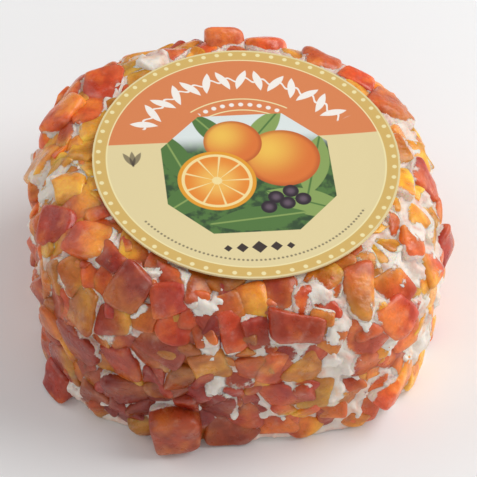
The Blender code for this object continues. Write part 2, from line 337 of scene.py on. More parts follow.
class FruitLook(bpy.types.PropertyGroup):
    """The diced candied papaya."""

    red: colour_setting("Red", "Flesh of the reddest dice", srgb(204, 54, 27))
    orange: colour_setting("Orange", "Flesh of the orange dice", srgb(228, 98, 30))
    amber: colour_setting("Amber", "Flesh of the palest dice", srgb(236, 160, 46))
    two_tone: share_setting(
        "Two tones", "How much the tone changes from one end of a dice to the other",
        0.22, 1)
    roundness: FloatProperty(
        name="Squareness", description="Power of the rounded cube: 2 is a ball, and more is squarer",
        default=7.0, min=2, max=20)
    cut_depth: share_setting(
        "Cut depth", "How far stray cuts take off the corners, as a share of the dice",
        0.30, 0.6)
    lump_height: length_setting(
        "Unevenness", "Height of the lumps on a dice's faces",
        0.00044, 0.0, 0.001)
    film: length_setting(
        "Film of curd", "Height over the curd up to which a white film covers the fruit",
        0.00026, 0.0, 0.002)
    dulled: colour_setting(
        "Dulled", "Colour towards which a milky film takes some of the dice", srgb(168, 96, 78))


class LabelLook(bpy.types.PropertyGroup):
    """The printed paper label."""

    turn: FloatProperty(
        name="Turn", description="How far the print is turned to the left, seen from above",
        default=math.radians(6.4), subtype="ANGLE")
    cream: colour_setting("Cream", "Lower field", srgb(232, 215, 163))
    orange: colour_setting("Orange", "Upper field", srgb(224, 134, 82))
    gold: colour_setting("Gold", "Border band", srgb(218, 182, 104))
    pale: colour_setting("Pale", "Dots and lines in the border", srgb(246, 232, 176))
    ink: colour_setting("Ink", "Dark ornaments", srgb(62, 50, 46))
    dots: IntProperty(name="Dots", description="Number of dots in the border", default=66, min=8, max=200)


class StudioLook(bpy.types.PropertyGroup):
    """Floor, lights and camera."""

    elevation: FloatProperty(
        name="Elevation", description="Height of the camera over level",
        default=math.radians(47), subtype="ANGLE")
    distance: FloatProperty(
        name="Distance", description="From the camera to the point that it looks at",
        default=0.431, min=0.05, unit="LENGTH")
    aim: FloatVectorProperty(
        name="Aim", description="The point that the camera looks at",
        default=(0.00016, -0.0020, 0.01495), size=3, precision=5, unit="LENGTH")
    lens: FloatProperty(name="Lens", description="Focal length in millimetres", default=222.5, min=10)
    floor: colour_setting("Floor", "Colour of the floor", (0.93, 0.93, 0.93))
    key: FloatProperty(name="Key", description="Power of the right light in watts", default=2.2, min=0)
    left: FloatProperty(name="Left", description="Power of the left light in watts", default=0.6, min=0)
    fill: FloatProperty(name="Fill", description="Power of the fill light in watts", default=0.3, min=0)
    sky: FloatProperty(name="Sky", description="Strength of the light from all round", default=0.33, min=0)


def tone_and_painted_light_by_place(dice):
    """Shift to amber and painted light and shade of the dice: more amber and lighter high up and at the
    sides, darker in front.
    """
    skin = drum_point(dice["arc"], dice["angle"])
    high = smooth_step(0.35 * HEIGHT, 0.9 * HEIGHT, skin[:, 2])
    sideways = np.abs(np.cos(dice["angle"])) ** 1.5
    front = np.clip(-np.sin(dice["angle"]), 0, 1)
    back = np.clip(np.sin(dice["angle"]), 0, 1)
    open_side = openness(dice["angle"])
    shift = TONE_START + TONE_HIGH * high * (1 - 0.6 * front)
    shift = shift + TONE_SIDES * sideways + TONE_OPEN * open_side
    shift[:len(STANDOUT_DICE)] = 0
    # Painted light: the colour is made lighter high up, at the sides, at the back and low down where the
    # fruit is open
    painted_light_factor = PAINTED_LIGHT_START + PAINTED_LIGHT_HIGH_AND_SIDES * (high + sideways) + PAINTED_LIGHT_BACK * back
    painted_light_factor = painted_light_factor + PAINTED_LIGHT_OPEN * (1 - high) * open_side
    # Painted shade: the colour is made darker at the front, most low down and less where the fruit is open
    dark = PAINTED_SHADE_LOW_FRONT + (PAINTED_SHADE_HIGH_FRONT - PAINTED_SHADE_LOW_FRONT) * high
    return shift, painted_light_factor - dark * (1 - PAINTED_SHADE_KEPT_FROM_OPEN * open_side) * front


def value_noise(points, cell, seed):
    """Smooth noise from -1 to 1: random values on a lattice of cells, blended with 3t^2 - 2t^3 between."""
    side = 32
    lattice = np.random.default_rng(seed).uniform(-1, 1, (side, side, side))
    place = points / cell
    corner = np.floor(place).astype(int)
    part = place - corner
    blend = part * part * (3 - 2 * part)
    total = np.zeros(points.shape[:-1])
    for step in itertools.product((0, 1), repeat=3):
        weight = np.prod(np.where(step, blend, 1 - blend), axis=-1)
        i, j, k = np.moveaxis((corner + step) % side, -1, 0)
        total += weight * lattice[i, j, k]
    return total


def layered_noise(points, cell, seed, layers, fade=0.5):
    """Sum of value noises, each half the size and fade times the height of the one before."""
    sizes = cell / 2.0 ** np.arange(layers)
    heights = fade ** np.arange(layers)
    return sum(h * value_noise(points, c, seed + n) for n, (c, h) in enumerate(zip(sizes, heights)))


def smooth_step(low, high, value):
    """0 below low, 1 above high, and 3t^2 - 2t^3 between."""
    share = np.clip((value - low) / (high - low), 0, 1)
    return share * share * (3 - 2 * share)


def unit(vectors):
    """Each vector divided by its length."""
    return vectors / np.linalg.norm(vectors, axis=-1, keepdims=True)


def turned_profile(arc):
    """Radius and height of the nominal round drum at a distance along its profile, and its skin's lean."""
    over = np.clip((arc - TOP_END) / (SHOULDER_END - TOP_END), 0, 1) * math.pi / 2
    down = np.clip(arc, SHOULDER_END, WALL_END) - SHOULDER_END
    back = np.clip((arc - WALL_END) / (FOOT_END - WALL_END), 0, 1) * math.pi / 2
    under = np.clip(arc, FOOT_END, UNDERSIDE_END) - FOOT_END
    radius = np.minimum(arc, TOP_END) + SHOULDER_RADIUS * np.sin(over)
    radius = radius - FOOT_RADIUS * (1 - np.cos(back)) - under
    height = HEIGHT - SHOULDER_RADIUS * (1 - np.cos(over)) - down - FOOT_RADIUS * np.sin(back)
    return radius, height, over + back


def footprint(angle):
    """Radius of the plan outline: an uneven rounded square, its back right corner pressed in by hand."""
    across = np.abs(np.cos(angle) / (WIDTH / 2)) ** SQUARENESS
    along = np.abs(np.sin(angle) / (DEPTH / 2)) ** SQUARENESS
    uneven = sum(share * np.sin(count * angle + phase) for count, phase, share in UNEVEN_WAVES)
    away = (np.mod(angle - PRESSED_AZIMUTH + math.pi, 2 * math.pi) - math.pi) / PRESSED_WIDTH
    return (across + along) ** (-1 / SQUARENESS) + HAND_SHAPED * uneven - PRESSED_IN * np.exp(-(away ** 2))


def slanted(x, y):
    """The drum's height over a plan point, as a share of the nominal: its top falls to the front right."""
    return 1 - (TOP_FALL[0] * x + TOP_FALL[1] * y) / HEIGHT


def drum_point(arc, angle, inset=0.0):
    """The point of the drum at an arc and an angle, lying inset metres inside its outer skin.

    The nominal profile is turned, scaled to the footprint, narrowed to the foot and slanted on top.
    """
    radius, height, lean = turned_profile(arc)
    radius = np.maximum(radius - inset * np.sin(lean), 0)
    height = height - inset * np.cos(lean)
    radius = radius * footprint(angle) / NOMINAL_RADIUS * (1 - FOOT_TAPER * (1 - height / HEIGHT))
    x, y = radius * np.cos(angle), radius * np.sin(angle)
    return np.stack([x, y, height * slanted(x, y)], -1)


def skin_axes(arc, angle):
    """Unit vectors around the drum, up its profile and out of its skin."""
    arc_step, turn = 0.1 * MM, math.radians(0.5)
    around = unit(drum_point(arc, angle + turn) - drum_point(arc, angle - turn))
    upward = unit(drum_point(arc - arc_step, angle) - drum_point(arc + arc_step, angle))
    outward = unit(np.cross(around, upward))
    return around, np.cross(outward, around), outward


def crowding(angle):
    """From 0, where the fruit is open, to 1, where it is crowded: (1 + cos(angle from there)) / 2."""
    return 0.5 + 0.5 * np.cos(angle - CROWDED_AZIMUTH)


def openness(angle):
    """From 0 to 1 where most curd shows: (1 + cos(angle from there)) / 2, to the power 3."""
    return (0.5 + 0.5 * np.cos(angle - OPEN_AZIMUTH)) ** 3


def dice_spacing(angle):
    """How far apart dice lie, as a share of their size: crowded at the front left, open at the right."""
    return OPEN_SPACING + (CROWDED_SPACING - OPEN_SPACING) * crowding(angle)


def beyond_label(points):
    """How far outside the label's rim points lie, seen from above."""
    return np.hypot(points[..., 0] - LABEL_CENTRE[0], points[..., 1] - LABEL_CENTRE[1]) - LABEL_RADIUS


def label_underside(points):
    """Height of the label's underside over a plan point: the slanted top plane."""
    return HEIGHT * slanted(points[..., 0], points[..., 1])


def throw_darts(rng, longest, darts, arcs_between):
    """Dice of one length thrown at the skin: arcs, angles, widths, points, and which ones count.

    They count so that the skin is hit evenly by area, and only where they are clear of the label's middle.
    """
    arcs = rng.uniform(*arcs_between, darts)
    angles = rng.uniform(-math.pi, math.pi, darts)
    by_area = rng.uniform(0, NOMINAL_RADIUS, darts) < turned_profile(arcs)[0]
    widths = longest * rng.uniform(DICE_NARROWEST, 1, darts)
    points = drum_point(arcs, angles)
    clear = beyond_label(points) * (points[:, 2] > HALFWAY_UP) > -TUCKED_UNDER_LABEL
    return arcs, angles, widths, points, by_area & clear


def keep_clear(placed, reach, points, reaches, counts, share):
    """The darts that land clear of the dice before them, and the places and reaches with theirs added.

    Two dice are clear of each other from the sum of their reaches times the share.
    """
    kept = []
    for n in np.flatnonzero(counts):
        apart = np.linalg.norm(placed - points[n], axis=1)
        if (apart < (reach + reaches[n]) * share[n]).any():
            continue
        placed = np.vstack([placed, points[n]])
        reach = np.append(reach, reaches[n])
        kept.append(n)
    return kept, placed, reach


def lay_dice():
    """Places every dice of the solids on the skin and returns its measures, as a dictionary of arrays.

    The listed ones come first. Then darts are thrown at the skin, the longest dice first.
    """
    rng = np.random.default_rng(DICE_SEED)
    by_hand = np.array(STANDOUT_DICE)
    angle, arc = np.radians(by_hand[:, 0]), by_hand[:, 1] * MM
    length, width = by_hand[:, 2] * MM, by_hand[:, 3] * MM
    lift, spin = by_hand[:, 4] * MM, np.radians(by_hand[:, 5])
    placed = drum_point(arc, angle)
    reach = (length + width) / 4
    for longest, darts in zip(DICE_LENGTHS, DARTS):
        arcs, angles, widths, points, counts = throw_darts(rng, longest, darts, FRUIT_OUTSIDE)
        lifts = rng.uniform(*DICE_LIFT, darts)
        spins = rng.uniform(-math.pi / 2, math.pi / 2, darts)
        kept, placed, reach = keep_clear(
            placed, reach, points, (longest + widths) / 4, counts, dice_spacing(angles))
        arc, angle = np.append(arc, arcs[kept]), np.append(angle, angles[kept])
        length, width = np.append(length, [longest] * len(kept)), np.append(width, widths[kept])
        lift, spin = np.append(lift, lifts[kept]), np.append(spin, spins[kept])
    count = len(arc)
    dice = {"arc": arc, "angle": angle, "length": length, "width": width, "lift": lift, "spin": spin}
    dice["thickness"] = np.maximum(rng.uniform(*DICE_THICKNESS, count), lift + DICE_ROOT)
    dice["lean"] = rng.uniform(-DICE_LEAN, DICE_LEAN, (count, 2))
    dice["taper"] = rng.uniform(-DICE_TAPER, DICE_TAPER, (count, 2))
    dice["slope"] = rng.uniform(-DICE_SLOPE, DICE_SLOPE, (count, 2))
    dice["foot"] = rng.uniform(*DICE_FEET, count)
    dice["head"] = rng.uniform(*DICE_UNDER_LABEL, count)
    dice["tone"] = rng.beta(*TONE_BETA, count)
    dice["tone"][:len(by_hand)] = by_hand[:, 6]
    return dice


def throw_more(dice, seed, lengths, darts, arcs_between, spacing, lifts_between, feet):
    """The dice with more added, wherever one lands far enough from those before it, the longest first."""
    rng = np.random.default_rng(seed)
    placed = drum_point(dice["arc"], dice["angle"])
    reach = (dice["length"] + dice["width"]) / 4
    new = []
    for longest in lengths:
        arcs, angles, widths, points, counts = throw_darts(rng, longest, darts, arcs_between)
        share = dice_spacing(angles) * (spacing - CROWDED_MORE * crowding(angles))
        kept, placed, reach = keep_clear(placed, reach, points, (longest + widths) / 4, counts, share)
        new.append([arcs[kept], angles[kept], [longest] * len(kept), widths[kept]])
    arc, angle, length, width = np.concatenate(new, axis=1)
    count = len(arc)
    added = {
        "arc": arc, "angle": angle, "length": length, "width": width,
        "thickness": length * rng.uniform(*FILL_THICKNESS, count),
        "lift": rng.uniform(*lifts_between, count),
        "spin": rng.uniform(-math.pi / 2, math.pi / 2, count),
        "lean": rng.uniform(-FILL_LEAN, FILL_LEAN, (count, 2)) * (arc < WALL_END)[:, None],
        "taper": rng.uniform(-DICE_TAPER, DICE_TAPER, (count, 2)),
        "slope": rng.uniform(-DICE_SLOPE, DICE_SLOPE, (count, 2)),
        "foot": rng.uniform(*feet, count),
        "head": rng.uniform(*DICE_UNDER_LABEL, count),
        "tone": rng.beta(*TONE_BETA, count),
    }
    return {key: np.concatenate([dice[key], added[key]]) for key in dice}


def all_dice():
    """The dice of the solids, the small ones between them and the ones pressed into the underside."""
    dice = lay_dice()
    dice["lean"] = dice["lean"] * LEAN_MORE
    underneath = (FOOT_END + UNDER_LENGTHS[0] / 2, UNDERSIDE_END)
    for more in (
        (FILL_SEED, FILL_LENGTHS, FILL_DARTS, FRUIT_OUTSIDE, FILL_SPACING, FILL_LIFT, DICE_FEET),
        (SMALL_SEED, SMALL_LENGTHS, SMALL_DARTS, FRUIT_OUTSIDE, SMALL_SPACING, SMALL_LIFT, DICE_FEET),
        (UNDER_SEED, UNDER_LENGTHS, UNDER_DARTS, underneath, UNDER_SPACING, UNDER_LIFT, UNDER_FEET),
    ):
        dice = throw_more(dice, *more)
    return dice


def dice_axes(dice):
    """Along, across and out of each dice, and its middle."""
    around, upward, outward = skin_axes(dice["arc"], dice["angle"])
    outward = unit(outward + dice["lean"][:, :1] * around + dice["lean"][:, 1:] * upward)
    cos, sin = np.cos(dice["spin"])[:, None], np.sin(dice["spin"])[:, None]
    along = unit(cos * around + sin * upward)
    across = unit(np.cross(outward, along))
    along = np.cross(across, outward)
    depth = dice["lift"] - dice["thickness"] / 2
    return along, across, outward, drum_point(dice["arc"], dice["angle"]) + outward * depth[:, None]


def grid_faces(rows, columns):
    """Four-sided faces of a grid of points, counted row by row."""
    index = np.arange(rows * columns).reshape(rows, columns)
    return np.stack([index[:-1, :-1], index[1:, :-1], index[1:, 1:], index[:-1, 1:]], -1).reshape(-1, 4)


def cube_grid(steps):
    """Points and four-sided faces of a cube from -1 to 1, each side a grid (u, v, 1) turned to its axis."""
    u, v = np.meshgrid(steps, steps, indexing="ij")
    sheet = np.stack([u, v, np.ones_like(u)], -1).reshape(-1, 3)
    flat = grid_faces(len(steps), len(steps))
    sides, faces = [], []
    for axis in range(3):
        for sign in (1, -1):
            faces.append(flat[:, ::sign] + len(sides) * len(sheet))
            sides.append(np.roll(sheet * (1, 1, sign), axis, 1))
    points, index = np.unique(np.round(np.concatenate(sides), 6), axis=0, return_inverse=True)
    return points, index.reshape(-1)[np.concatenate(faces)]


def rounded_cubes(template, squareness):
    """Cube points drawn in: each divided by its p-norm, (|x|^p + |y|^p + |z|^p)^(1/p)."""
    norm = (np.abs(template) ** squareness).sum(-1, keepdims=True) ** (1 / squareness)
    return template / norm


def stray_cuts(points, rng, count, deepest):
    """Flat cuts, each dice its own: points beyond a plane at a random slant are moved back onto it."""
    for _ in range(count):
        normal = unit(rng.normal(size=(points.shape[0], 1, 3)))
        reach = (points * normal).sum(-1).max(1, keepdims=True)
        plane = reach * (1 - rng.uniform(0, deepest, reach.shape))
        excess = np.clip((points * normal).sum(-1) - plane, 0, None)
        points = points - excess[..., None] * normal
    return points


def dice_points(dice, look):
    """Points of every dice at once, as dice by points by 3, and the height of each point over the skin.

    A cube grid is rounded, given stray cuts, tapered, sloped on its outer face, scaled to its measures,
    turned to its axes, set on the skin and roughened with noise.
    """
    rng = np.random.default_rng(DICE_SEED + 2)
    template, faces = cube_grid(DICE_STEPS)
    count = len(dice["arc"])
    cube = np.repeat(rounded_cubes(template, look.roundness)[None], count, 0)
    cube = stray_cuts(cube, rng, 4, look.cut_depth) * 1.06
    half = np.stack([dice["length"], dice["width"], dice["thickness"]], -1)[:, None] / 2
    x, y, z = np.moveaxis(cube, -1, 0)
    local = np.stack([
        x * (1 + dice["taper"][:, :1] * y),
        y * (1 + dice["taper"][:, 1:] * x),
        z,
    ], -1) * half
    slope = dice["slope"][:, :1] * local[..., 0] + dice["slope"][:, 1:] * local[..., 1]
    local[..., 2] += slope * (1 + z) / 2
    along, across, outward, middle = (v[:, None] for v in dice_axes(dice))
    points = middle + local[..., :1] * along + local[..., 1:2] * across + local[..., 2:] * outward
    rough = [layered_noise(points, 1.6 * MM, DICE_SEED + 10 * n, 2) for n in range(3)]
    points = points + look.lump_height * np.stack(rough, -1)
    points[..., 2] = np.maximum(points[..., 2], dice["foot"][:, None])
    near = (beyond_label(points).min(1) < LABEL_GAP) & (points[..., 2].mean(1) > HALFWAY_UP)
    ceiling = label_underside(points) - dice["head"][:, None]
    points[..., 2] = np.where(near[:, None], np.minimum(points[..., 2], ceiling), points[..., 2])
    height = dice["lift"][:, None] - half[..., 2] + local[..., 2]
    return points, height, faces, template


def curd_patches():
    """Centres and half widths of the patches of high curd: those listed, and random ones at the back."""
    rng = np.random.default_rng(PATCH_SEED)
    listed = np.array(CURD_PATCHES)
    angle = np.concatenate([np.radians(listed[:, 0]), rng.uniform(*BACK_BETWEEN, BACK_PATCHES)])
    arc = np.concatenate([listed[:, 1] * MM, rng.uniform(SHOULDER_END, WALL_END, BACK_PATCHES)])
    width = np.concatenate([listed[:, 2] * MM, rng.uniform(*BACK_PATCH_WIDTH, BACK_PATCHES)])
    return drum_point(arc, angle), width


def fruit_around(skin, outward, dice, tints):
    """What fruit lies at each point of the skin: nearness, depth inside a dice, level of its face and tint.

    A dice's face is a plane, cut by the line out of the skin at a height h. In that plane the distance
    outside its edges is d = max(|x| - a, |y| - b). Nearness is e^(-d / fade). The faces and tints of the
    dice around are averaged, weighed by e^(-d / share fade + h / height fade), so that of two dice that
    overlap the higher one counts.
    """
    fade, share_fade, height_fade = 0.6 * MM, 0.25 * MM, 0.25 * MM
    lowest, highest = -1.0 * MM, 0.3 * MM
    along, across, normal, middle = dice_axes(dice)
    face = middle + normal * dice["thickness"][:, None] / 2
    nearness, inside = np.zeros(len(skin)), np.zeros(len(skin))
    weight, level = np.full(len(skin), 1e-9), np.zeros(len(skin))
    tint = np.ones((len(skin), 3)) * 1e-9
    for n in range(len(face)):
        reach = dice["length"][n] + 2 * MM
        chosen = np.flatnonzero(np.abs(skin - face[n]).max(1) < reach)
        away = skin[chosen] - face[n]
        height = -(away @ normal[n]) / np.maximum(outward[chosen] @ normal[n], 0.3)
        away = away + outward[chosen] * height[:, None]
        x, y = away @ along[n], away @ across[n]
        height = height + dice["slope"][n, 0] * x + dice["slope"][n, 1] * y
        outside = np.maximum(np.abs(x) - dice["length"][n] / 2, np.abs(y) - dice["width"][n] / 2)
        apart = np.clip(outside, 0, None)
        near = np.exp(-apart / fade)
        height = np.clip(height, lowest, highest)
        share = np.exp(-apart / share_fade + height / height_fade)
        nearness[chosen] = np.maximum(nearness[chosen], near)
        inside[chosen] = np.maximum(inside[chosen], np.clip(-outside, 0, None))
        weight[chosen] += share
        level[chosen] += share * height
        tint[chosen] += share[:, None] * tints[n]
    return nearness, inside, level / weight, tint / weight[:, None]


def patch_height(points):
    """How far a point is raised by patches of curd, 0 to 1: e^-(distance / half width)^2 of the nearest."""
    shake, shake_size = 1.3 * MM, 2.1 * MM
    shaken = points + shake * value_noise(points, shake_size, 12)[..., None]
    raised = np.zeros(points.shape[:-1])
    for centre, width in zip(*curd_patches()):
        away = ((shaken - centre) ** 2).sum(-1) / width ** 2
        raised = np.maximum(raised, np.exp(-away))
    return raised


def curd_level(skin, nearness, inside, face_level, look):
    """Height of the curd over the skin: from its own level up to just under the fruit's faces beside it.

    It dives with the distance inside a dice and stands higher where the fruit is open. In a patch it covers
    the fruit's faces. Layered noise is added on top.
    """
    lift = look.open_level * openness(np.arctan2(skin[..., 1], skin[..., 0]))
    beside = face_level - look.drop - look.steepness * inside
    level = look.level + (beside - look.level) * nearness + lift
    lumps = value_noise(skin, look.lump_size, 5)
    crags = layered_noise(skin, 0.42 * look.lump_size, 9, 3, 0.6)
    ragged = layered_noise(skin, 1.1 * MM, 21, 2, 0.6)
    patch_edges, raggedness = (0.36, 0.66), 0.16
    patch = smooth_step(*patch_edges, patch_height(skin) + raggedness * ragged)
    level = level + (face_level * nearness + look.patch_cover - level) * patch
    return level + look.lump_height * (lumps + (0.9 + 0.5 * patch) * crags)


def new_piece(name, points, faces, material):
    """A smooth mesh object of one material, which rides on the body and replaces the cheese's solid."""
    mesh = bpy.data.meshes.new(name)
    mesh.from_pydata(points.tolist(), [], faces)
    mesh.shade_smooth()
    mesh.materials.append(material)
    obj = bpy.data.objects.new(name, mesh)
    bpy.context.scene.collection.objects.link(obj)
    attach(obj, "root")
    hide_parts("cheese")
    return obj


def copied_faces(faces, copies, points_each):
    """The faces of one small shape for each of its copies, whose points follow one another."""
    shifts = np.arange(copies)[:, None, None] * points_each
    return (faces[None] + shifts).reshape(-1, faces.shape[1]).tolist()


def add_values(obj, name, values):
    """A number for each point of the mesh, which the material reads by name."""
    attribute = obj.data.attributes.new(name, "FLOAT", "POINT")
    attribute.data.foreach_set("value", np.ascontiguousarray(values, np.float32).ravel())


def add_colours(obj, name, colours):
    """A colour for each point of the mesh, which the material reads by name."""
    attribute = obj.data.attributes.new(name, "FLOAT_COLOR", "POINT")
    full = np.ones((len(colours), 4), np.float32)
    full[:, :3] = colours
    attribute.data.foreach_set("color", full.ravel())


class Field:
    """A shader value or colour in a node tree, so that a formula of nodes reads as a formula.

    The operators + - * / and abs() each add a Math node.
    """

    def __init__(self, tree, socket):
        self.tree = tree
        self.socket = socket

    def math(self, operation, *others):
        """A Math node's result, with this value in its first socket and the others after it."""
        node = self.tree.nodes.new("ShaderNodeMath")
        node.operation = operation
        for slot, value in zip(node.inputs, (self, *others)):
            put(self.tree, slot, value)
        return Field(self.tree, node.outputs[0])

    def __add__(self, other):
        return self.math("ADD", other)

    def __sub__(self, other):
        return self.math("SUBTRACT", other)

    def __mul__(self, other):
        return self.math("MULTIPLY", other)

    def __truediv__(self, other):
        return self.math("DIVIDE", other)

    def __abs__(self):
        return self.math("ABSOLUTE")

    def power(self, other):
        """This value to a power."""
        return self.math("POWER", other)

    def most(self, other):
        """The larger of this value and another."""
        return self.math("MAXIMUM", other)

    def below(self, limit, soft=0.06):
        """1 where the value is under the limit, 0 where it is over, with a soft edge."""
        return self.rising(limit + soft, limit - soft)

    def above(self, limit, soft=0.06):
        """1 where the value is over the limit."""
        return self.rising(limit - soft, limit + soft)

    def rising(self, low, high, out_low=0.0, out_high=1.0):
        """out_low up to low, out_high from high on, and a smooth step between."""
        node = self.tree.nodes.new("ShaderNodeMapRange")
        node.interpolation_type = "SMOOTHSTEP"
        for slot, value in zip(node.inputs, (self, low, high, out_low, out_high)):
            put(self.tree, slot, value)
        return Field(self.tree, node.outputs[0])

    def over(self, below, mask):
        """This colour laid over another one where the mask is 1."""
        node = self.tree.nodes.new("ShaderNodeMix")
        node.data_type = "RGBA"
        put(self.tree, node.inputs["Factor"], mask)
        put(self.tree, node.inputs[MIX_BELOW], below)
        put(self.tree, node.inputs[MIX_ABOVE], self)
        return Field(self.tree, node.outputs[MIX_RESULT])


def put(tree, slot, value):
    """Links a field to a socket, or sets the socket to a number or colour."""
    if isinstance(value, Field):
        tree.links.new(value.socket, slot)
    elif isinstance(value, (tuple, list, Vector)) and slot.type == "RGBA":
        slot.default_value = (*value[:3], 1)
    else:
        slot.default_value = value


def add_node(tree, kind, outlet=0, settings=(), **inputs):
    """A node with settings and inputs, as the field of one of its outputs."""
    node = tree.nodes.new(kind)
    for name, value in dict(settings).items():
        setattr(node, name, value)
    for name, value in inputs.items():
        put(tree, node.inputs[name.replace("_", " ")], value)
    return Field(tree, node.outputs[outlet])


def plain_colour(tree, colour):
    """One colour all over."""
    node = tree.nodes.new("ShaderNodeRGB")
    node.outputs[0].default_value = (*colour[:3], 1)
    return Field(tree, node.outputs[0])


def object_place(tree):
    """The place on the object, in metres."""
    return add_node(tree, "ShaderNodeTexCoord", "Object")


def noise(tree, place, scale, detail=2.0, roughness=0.5, distortion=0.0):
    """Noise from 0 to 1 on a place, at a scale per unit of the place."""
    return add_node(
        tree, "ShaderNodeTexNoise", "Fac", Vector=place, Scale=scale, Detail=detail, Roughness=roughness,
        Distortion=distortion)


def bump(tree, height, distance, **others):
    """A normal that follows a height from 0 to 1, scaled to a distance in metres."""
    return add_node(tree, "ShaderNodeBump", "Normal", Height=height, Distance=distance, **others)


def attribute(tree, name, outlet="Fac"):
    """What a piece holds under a name at each of its points."""
    node = tree.nodes.new("ShaderNodeAttribute")
    node.attribute_name = name
    return Field(tree, node.outputs[outlet])


def recoloured(tree, colour, hue, saturation, value):
    """A colour with its hue turned, its saturation and its brightness scaled. A hue of 0.5 leaves it."""
    return add_node(
        tree, "ShaderNodeHueSaturation", "Color", Color=colour, Hue=hue, Saturation=saturation, Value=value)


def blank_material(name):
    """A material with only a Principled shader, and its tree and shader."""
    material = bpy.data.materials.new(name)
    material.use_nodes = True
    tree = material.node_tree
    return material, tree, tree.nodes["Principled BSDF"]


def set_shader(tree, shader, **values):
    """Sets or links the shader's sockets, each named with an underscore for a space."""
    for name, value in values.items():
        put(tree, shader.inputs[name.replace("_", " ")], value)


def group_socket(group, name, direction, kind):
    """Adds an input or an output to a node group."""
    return group.interface.new_socket(name, in_out=direction, socket_type=kind)


def moist_grain_group():
    """Node group: fine wet grain that curd and fruit both have, from a place, at a size and a height."""
    group = bpy.data.node_groups.new("moist grain", "ShaderNodeTree")
    group_socket(group, "Place", "INPUT", "NodeSocketVector")
    group_socket(group, "Scale", "INPUT", "NodeSocketFloat")
    group_socket(group, "Height", "INPUT", "NodeSocketFloat")
    group_socket(group, "Normal", "OUTPUT", "NodeSocketVector")
    group_socket(group, "Grain", "OUTPUT", "NodeSocketFloat")
    inlet = group.nodes.new("NodeGroupInput")
    outlet = group.nodes.new("NodeGroupOutput")
    place, scale, height = (Field(group, inlet.outputs[n]) for n in range(3))
    coarse = noise(group, place, scale, detail=3.0, roughness=0.6)
    fine = noise(group, place, scale * 3.1)
    cells = add_node(
        group, "ShaderNodeTexVoronoi", "Distance", {"feature": "SMOOTH_F1"},
        Vector=place, Scale=scale * 1.7)
    relief = coarse * 0.55 + fine * 0.2 - cells * 0.35
    put(group, outlet.inputs["Grain"], coarse)
    put(group, outlet.inputs["Normal"], bump(group, relief, height))
    return group


def use_grain(tree, group, place, scale, height):
    """The normal and the grain of the moist grain group at one size."""
    node = tree.nodes.new("ShaderNodeGroup")
    node.node_tree = group
    for slot, value in zip(node.inputs, (place, scale, height)):
        put(tree, slot, value)
    return Field(tree, node.outputs["Normal"]), Field(tree, node.outputs["Grain"])


def curd_material(look, grain_group):
    """Fresh curd: warm white, faintly mottled, stained by the fruit beside it, moist and translucent."""
    material, tree, shader = blank_material("fresh curd")
    place = object_place(tree)
    mottle = noise(tree, place, scale=420, detail=3.0)
    shaded = plain_colour(tree, [0.90 * c for c in look.colour])
    clean = shaded.over(plain_colour(tree, look.colour), mottle)
    near = attribute(tree, "fruit_near")
    tint = attribute(tree, "fruit_tint", "Color")
    blotch = noise(tree, place, scale=900).rising(0.3, 0.7)
    colour = tint.over(clean, near * (blotch * 0.6 + 0.4) * look.stain)
    normal, grain = use_grain(tree, grain_group, place, 1100, 0.00018)
    set_shader(
        tree, shader, Base_Color=colour, Roughness=grain.rising(0.3, 0.7, 0.34, 0.52), Normal=normal,
        Subsurface_Weight=0.35, Subsurface_Scale=0.0012, Subsurface_Radius=(1.0, 0.7, 0.5),
        Specular_IOR_Level=0.5)
    shader.subsurface_method = "RANDOM_WALK"
    return material


def fruit_material(name, curd, look, grain_group):
    """Candied papaya: translucent flesh, each dice in its own tint, with a painted highlight along its
    edges, a gloss and a film of curd.
    """
    material, tree, shader = blank_material(name)
    place = object_place(tree)

    tint = attribute(tree, "tint", "Color")
    deep = recoloured(tree, tint, hue=0.496, saturation=1.08, value=0.60)
    warm = recoloured(tree, tint, hue=0.52, saturation=1.0, value=1.32)
    # The colour of the painted highlight along the dice's edges
    light = recoloured(tree, tint, hue=0.52, saturation=0.88, value=1.3)
    streaks = noise(tree, place, scale=330, detail=3.0, roughness=0.6, distortion=0.4).rising(0.3, 0.72)
    warm_spots = noise(tree, place, scale=210).rising(0.48, 0.66, 0.0, 0.75)
    fibres = noise(tree, place, scale=1250, detail=3.0, roughness=0.6, distortion=0.8).rising(0.36, 0.66)
    edge = attribute(tree, "edge").rising(0.5, 1.0)
    colour = warm.over(tint.over(deep, streaks), warm_spots)
    colour = deep.over(colour, fibres * 0.3)
    # Painted highlight: the colour is made lighter along each dice's edges
    colour = light.over(colour, edge * 0.12)

    milky = plain_colour(tree, [0.82 * c for c in curd])
    haze = noise(tree, place, scale=520, detail=4.0, roughness=0.6).rising(0.52, 0.8, 0.0, 0.19)
    colour = milky.over(colour, haze)
    ragged = noise(tree, place, scale=900, detail=4.0, roughness=0.7) - 0.5
    broad = noise(tree, place, scale=330) - 0.5
    exposed = attribute(tree, "exposed") + ragged * 1.1 + broad * 0.9
    film = exposed.rising(look.film / MM, 0.02)
    smear = tint.over(plain_colour(tree, curd), 0.10)
    colour = smear.over(colour, film * 0.92)

    grain_normal, grain = use_grain(tree, grain_group, place, 640, 0.00026)
    crumbly = noise(tree, place, scale=1500, detail=3.0, roughness=0.7) * film
    normal = bump(tree, crumbly, 0.0004, Normal=grain_normal)
    roughness = grain.rising(0.3, 0.7, 0.24, 0.46).most(film * 0.5)
    set_shader(
        tree, shader, Base_Color=colour, Roughness=roughness, Normal=normal, Subsurface_Weight=0.35,
        Subsurface_Scale=0.0014, Subsurface_Radius=(1.0, 0.34, 0.12), Specular_IOR_Level=0.5,
        Coat_Weight=0.2, Coat_Roughness=0.2)
    shader.subsurface_method = "RANDOM_WALK"
    return material


def tone_colours(tone, look):
    """Colour for each tone: red at 0, orange at a half and amber at 1, with a straight blend between."""
    stops = np.array([look.red[:], look.orange[:], look.amber[:]])
    return np.stack([np.interp(tone, (0, 0.5, 1), stops[:, channel]) for channel in range(3)], -1)


